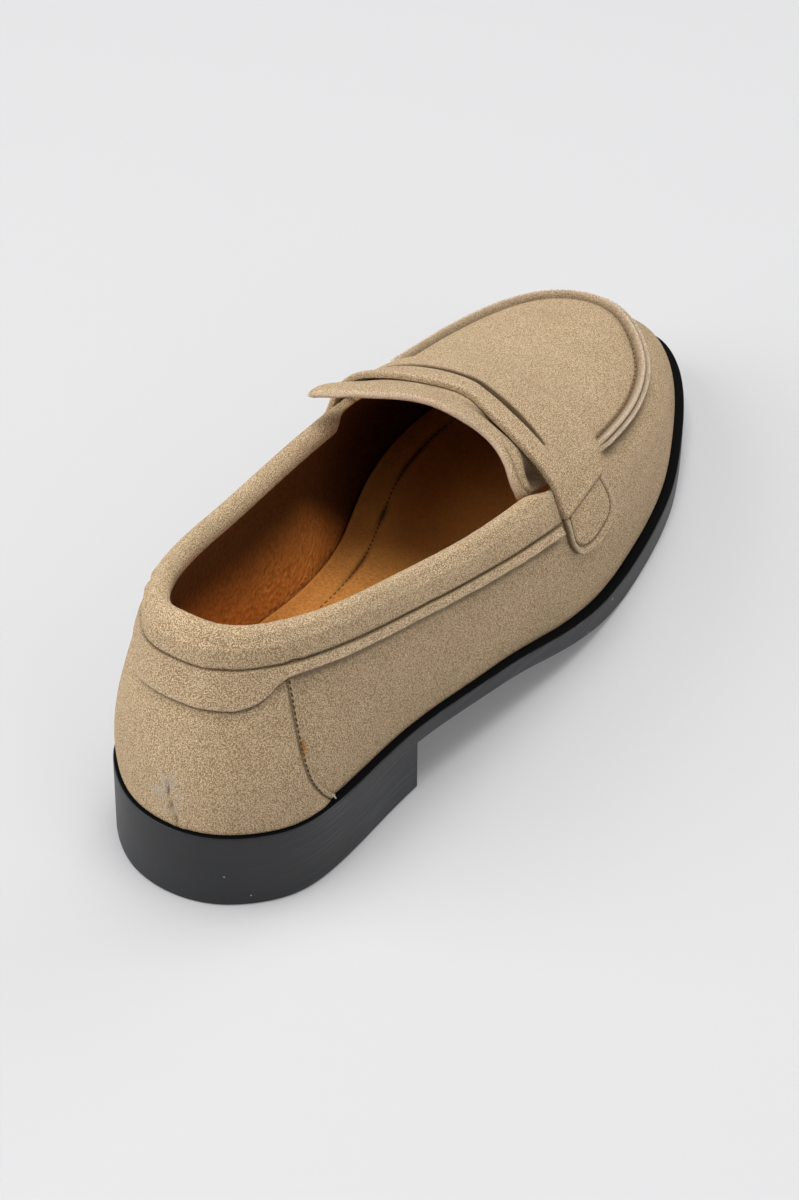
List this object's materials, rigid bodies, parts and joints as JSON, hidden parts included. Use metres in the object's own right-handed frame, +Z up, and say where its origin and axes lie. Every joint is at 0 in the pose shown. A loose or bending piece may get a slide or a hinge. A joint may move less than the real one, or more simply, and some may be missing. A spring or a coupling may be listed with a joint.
{
  "type": "suede loafer",
  "caption": "Low slip-on shoe for the right foot with a raised apron seam, a slit strap over the instep, a padded collar and a black moulded sole with a low heel.",
  "frame": {"origin": "on the floor, at the middle of the footprint", "axes": "+Y from heel to toe, +X towards the outer side of the foot, +Z up"},
  "size_m": [0.0932, 0.2586, 0.0839],
  "materials": {
    "suede": "matte napped suede",
    "black_sole": "satin moulded rubber",
    "tan_leather": "soft unglazed lining leather"
  },
  "bodies": {
    "root": {"sole": "black_sole", "upper": "suede", "insole": "tan_leather", "tongue": "suede", "strap": "suede", "collar_trim": "suede", "counter": "suede"}
  },
  "joints": []
}
